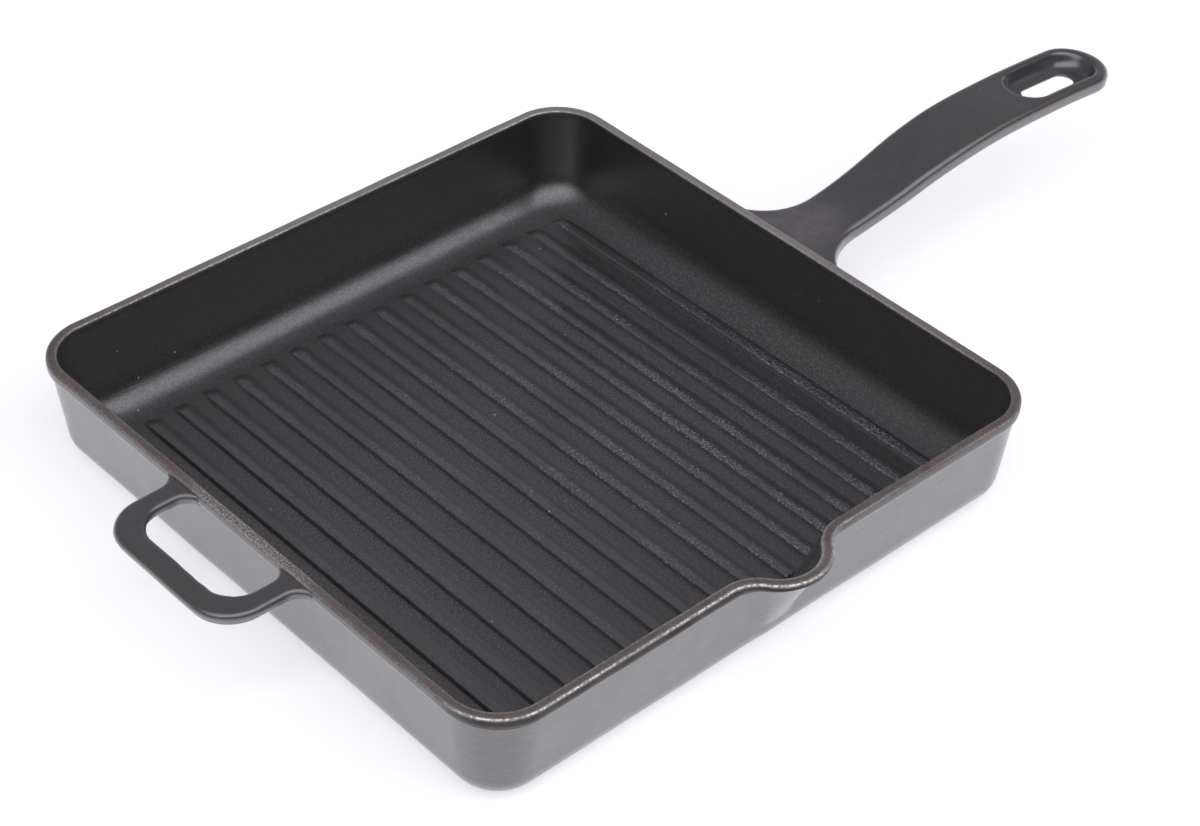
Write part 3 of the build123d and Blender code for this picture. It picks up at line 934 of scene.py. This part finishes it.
def rim_finish():
    """Brown land where the enamel is thin, bright lines on its arrises, enamel on its flank."""
    finish, tree, shader, where = new_finish("worn_rim_iron")
    fine, _ = grain_bump(where, shader, 0.5)
    tone = patchy(where, 70.0, 0.36, 0.64, detail=4.0)
    colour = mix_colour(tone, *LAND_BROWNS)
    # The land is greyer towards the far corner, and rubbed bright beside the helper handle
    spot = split(where)
    far = between(sums("ADD", spot["X"], spot["Y"]), *FAR_LAND, 0.0, 0.8)
    colour = mix_colour(far, colour, LAND_FAR)
    held = product(eased(measured("DISTANCE", where, HELD_SPOT), *HELD_REACH, 0.9, 0.0),
                   patchy(where, 1500.0, 0.46, 0.62, detail=2.0, roughness=0.65))
    colour = mix_colour(held, colour, LAND_HELD)
    colour = mix_colour(between(fine, 0.5, 0.72, 0.0, 0.4), colour, LAND_GRAIN)
    flank, inside = attribute(tree, "flank"), attribute(tree, "inside")
    thin = thin_enamel(where)
    colour = mix_colour(flank, colour, mix_colour(thin, RIM_ENAMEL, RIM_THIN_BROWN))
    colour = mix_colour(inside, colour, RIM_INSIDE)
    coat = product(flank, between(thin, 0.0, 1.0, 1.0, 0.0))
    coat = sums("MAXIMUM", coat, inside)
    # The arrises are worn bare in broken lines, most beside thin enamel and at the far corner
    broken = patchy(where, 850.0, 0.42, 0.6, 0.3, 1.0, roughness=0.65)
    long_wear = patchy(where, 22.0, 0.38, 0.6, 0.35, 0.9, detail=2.0, roughness=0.5)
    side_wear = sums("MAXIMUM", between(thin, 0.2, 0.9, 0.4, 2.2), between(far, 0.0, 0.5, 0.5, 1.1))
    bright = product(attribute(tree, "worn"), broken, long_wear)
    bright = sums("MULTIPLY", bright, side_wear, clamp=True)
    colour = mix_colour(bright, colour, BARE_ARRIS)
    metal = sums("MAXIMUM", bright, product(held, 0.5))
    rough = sums("ADD", between(metal, 0.0, 1.0, 0.5, 0.24), product(flank, thin, 0.25))
    give(shader, {"Base Color": colour, "Roughness": rough, "Coat Weight": coat,
                  "Metallic": between(metal, 0.0, 1.0, 0.0, 0.8),
                  "Specular IOR Level": 0.5, "Coat Roughness": 0.32, "Coat IOR": 1.75})
    return finish


def ridge_finish():
    """Black enamel on the ridges, with painted sheen on the crests, painted shade at their feet,
    and sparkling wear in patches along the crests that is partly painted glint.
    """
    finish, tree, shader, where = new_finish("ridge_iron")
    spot = split(where)
    # How far a point is to the side of its row's middle, in pitches
    row = sums("DIVIDE", spot["X"], RIDGE_PITCH * MM)
    aside = sums("SUBTRACT", row, sums("ROUND", row))
    # Painted sheen and shade: the crests are painted lighter than the feet
    crest = product(eased(spot["Z"], *CREST_Z), between(aside, 0.14, 0.02, 0.1, 1.0))
    mottle = patchy(where, 60.0, 0.35, 0.65, roughness=0.55)
    colour = mix_colour(crest, mix_colour(mottle, *RIDGE_SHADED_FOOT_TONES),
                        mix_colour(mottle, *RIDGE_LIT_CREST_TONES))
    fine, _ = grain_bump(where, shader, 0.5)
    # Scoured grey grains, thinned towards the coves as painted shade
    pepper = product(between(fine, 0.5, 0.62), between(aside, 0.05, 0.4, 0.3, 0.8), scouring_and_cove_shade(where))
    colour = mix_colour(pepper, colour, SCOURED_GREY)
    # The crests are worn in patches, more towards the long handle; the light grey of the patches is
    # partly wear and partly painted glint
    patches = product(patchy(where, 26.0, 0.42, 0.68, 0.2, 1.0),
                      between(spot["X"], *WORN_AND_GLINT_CRESTS_X, 0.25, 1.6))
    worn = product(patches, between(fine, 0.53, 0.64), crest)
    colour = mix_colour(worn, colour, WORN_CREST_AND_GLINT)
    colour = mix_colour(specks(where, 190.0, 0.07), colour, RIDGE_SPECK)
    rough = patchy(where, 80.0, 0.3, 0.7, 0.34, 0.44)
    give(shader, {"Base Color": colour, "Roughness": rough, "Coat Weight": 1.0,
                  "Specular IOR Level": 1.0, "Coat Roughness": 0.35, "Coat IOR": 1.7})
    return finish


# ------------------------ floor, light and camera

WHITE = (0.98, 0.98, 1.0)
TABLE_RADIUS, TABLE_FADE = 6.0, (0.45, 0.95)
TABLE_PLAIN, TABLE_SHADED = (0.8, 0.8, 0.81), (0.66, 0.66, 0.665)
TABLE_GLOW, GLOW_STRENGTH = (0.965, 0.955, 1.0), 0.59
ROOM_COLOUR, ROOM_STRENGTH, DIM_SIDE_STRENGTH = (0.98, 0.94, 1.0), 0.295, 0.06
# The side of the room whose backdrop the pan mirrors white
WHITE_SIDE = (0.26, 0.966, 0.0)


def plain_shader(tree, kind, colour, **strength):
    """A shader of one colour."""
    return add_node(tree, "ShaderNode" + kind, {"Color": (*colour, 1.0), **strength}).outputs[0]


def mix_shaders(share, first, second):
    """The second shader over the first by a share."""
    inputs = {0: share, 1: first, 2: second}
    return add_node(share.id_data, "ShaderNodeMixShader", inputs).outputs[0]


def table_finish():
    """White table top: it keeps the pan's shadow, and fades to plain white away from the pan."""
    finish, tree, shader, where = new_finish("white_table")
    tree.nodes.remove(shader)
    far = eased(measured("LENGTH", where), *TABLE_FADE)
    rays = add_node(tree, "ShaderNodeLightPath").outputs
    seen = sums("MAXIMUM", rays["Is Camera Ray"], rays["Is Glossy Ray"])
    seen = sums("MAXIMUM", seen, rays["Is Transmission Ray"])
    plain = plain_shader(tree, "BsdfDiffuse", TABLE_PLAIN)
    shaded = plain_shader(tree, "BsdfDiffuse", TABLE_SHADED)
    glow = plain_shader(tree, "Emission", TABLE_GLOW, Strength=GLOW_STRENGTH)
    near = add_node(tree, "ShaderNodeAddShader", {0: shaded, 1: glow}).outputs[0]
    white = plain_shader(tree, "Emission", WHITE, Strength=1.0)
    final = mix_shaders(seen, plain, mix_shaders(far, near, white))
    give(tree.nodes["Material Output"], {"Surface": final})
    return finish


def build_table():
    """A wide round table top under the pan."""
    work = bmesh.new()
    bmesh.ops.create_circle(work, cap_ends=True, cap_tris=False, segments=96, radius=TABLE_RADIUS)
    mesh = bpy.data.meshes.new("table_top")
    work.to_mesh(mesh)
    work.free()
    mesh.materials.append(table_finish())
    table = put_in_scene("table_top", mesh)


def room_light():
    """A dim room with a white backdrop, for the camera and for what the pan mirrors of it."""
    world = bpy.data.worlds.new("studio_room")
    bpy.context.scene.world = world
    world.use_nodes = True
    tree = world.node_tree
    tree.nodes.clear()
    heading = tree.nodes.new("ShaderNodeTexCoord").outputs["Generated"]
    up = split(heading)["Z"]
    backdrop = eased(up, 0.25, 0.5, 1.0, 0.0)
    mirrored = eased(up, 0.05, 0.16, 1.0, 0.0)
    ahead = eased(measured("DOT_PRODUCT", heading, WHITE_SIDE), -0.3, 0.3)
    rays = add_node(tree, "ShaderNodeLightPath").outputs
    bounced = sums("MAXIMUM", rays["Is Glossy Ray"], rays["Is Transmission Ray"])
    share = sums("MAXIMUM", product(backdrop, rays["Is Camera Ray"]),
                 product(mirrored, ahead, bounced))
    # The room is darkest where the pan mirrors its other side, where the camera stands
    dim = product(sums("SUBTRACT", 1.0, ahead), bounced)
    room = plain_shader(tree, "Background", ROOM_COLOUR,
                        Strength=between(dim, 0.0, 1.0, ROOM_STRENGTH, DIM_SIDE_STRENGTH))
    white = plain_shader(tree, "Background", WHITE, Strength=1.0)
    give(tree.nodes.new("ShaderNodeOutputWorld"), {"Surface": mix_shaders(share, room, white)})


# The camera's fit to the photograph: its place, its turn about each axis and its lens
CAMERA_PLACE = (-0.51886, -0.58978, 0.66250)
CAMERA_AZIMUTH, CAMERA_ELEVATION, CAMERA_ROLL = radians(-43.14), radians(39.06), radians(1.69)
CAMERA_LENS, CAMERA_SENSOR = 84.05, 36.0
# The soft box: which way it stands from the pan, how far off, how wide and high, and its light
BOX_HEADING, BOX_DISTANCE, BOX_SIZE = (-0.18, -0.47, 0.87), 1.5, (4.2, 1.4)
BOX_WATTS, BOX_COLOUR = 30.5, (0.97, 0.97, 1.02)


def build_soft_box():
    """A rectangular lamp that faces the pan."""
    lamp = bpy.data.lights.new("front_soft_box", "AREA")
    lamp.shape = "RECTANGLE"
    lamp.size, lamp.size_y = BOX_SIZE
    lamp.energy = BOX_WATTS
    lamp.color = BOX_COLOUR
    box = put_in_scene("front_soft_box", lamp)
    toward = Vector(BOX_HEADING).normalized()
    box.location = toward * BOX_DISTANCE
    box.rotation_euler = toward.to_track_quat("Z", "Y").to_euler()


def set_camera():
    """The camera stands where the photograph was taken from."""
    level = cos(CAMERA_ELEVATION)
    back = Vector((sin(CAMERA_AZIMUTH) * level, -cos(CAMERA_AZIMUTH) * level,
                   sin(CAMERA_ELEVATION)))
    side = Vector((cos(CAMERA_AZIMUTH), sin(CAMERA_AZIMUTH), 0.0))
    up = back.cross(side)
    side, up = (side * cos(CAMERA_ROLL) + up * sin(CAMERA_ROLL),
                up * cos(CAMERA_ROLL) - side * sin(CAMERA_ROLL))
    lens = bpy.data.cameras.new("photo_camera")
    lens.sensor_width = CAMERA_SENSOR
    lens.lens = CAMERA_LENS
    lens.clip_start, lens.clip_end = 0.05, 40.0
    camera = put_in_scene("photo_camera", lens)
    turn = Matrix((side, up, back)).transposed()
    camera.matrix_world = Matrix.Translation(CAMERA_PLACE) @ turn.to_4x4()
    bpy.context.scene.camera = camera


# ------------------------ the scene

tray_enamel = enamel_finish("enamelled_iron", ((0.011, 0.0102, 0.0115), (0.017, 0.016, 0.018)),
                            groove_tone=(0.007, 0.0063, 0.0066))
handle_enamel = enamel_finish("enamelled_handle_iron",
                              ((0.0145, 0.0136, 0.015), (0.0185, 0.0173, 0.019)),
                              streak_share=0.3, brown_edges=0.5)
rim_iron = rim_finish()
ridge_iron = ridge_finish()

RIDGE_NODES = [f"grill_ridge_{number:02d}" for number in range(1, 18)]
for piece, finish, slot, nodes in (
        (build_base(), tray_enamel, "enamelled_iron", ["pan_base"]),
        (build_wall(), tray_enamel, "enamelled_iron", ["pan_wall"]),
        (build_rim(), rim_iron, "worn_rim_iron", ["rim_band"]),
        (build_ridges(ridge_iron), ridge_iron, "ridge_iron", RIDGE_NODES),
        (build_long_handle(), handle_enamel, "enamelled_iron", ["long_handle"]),
        (build_helper_handle(), handle_enamel, "enamelled_iron", ["helper_handle"])):
    if not piece.data.materials:
        piece.data.materials.append(finish)
    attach(piece, "root")
    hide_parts(*nodes)

build_table()
room_light()
build_soft_box()
set_camera()
bpy.context.scene.view_settings.view_transform = "Standard"
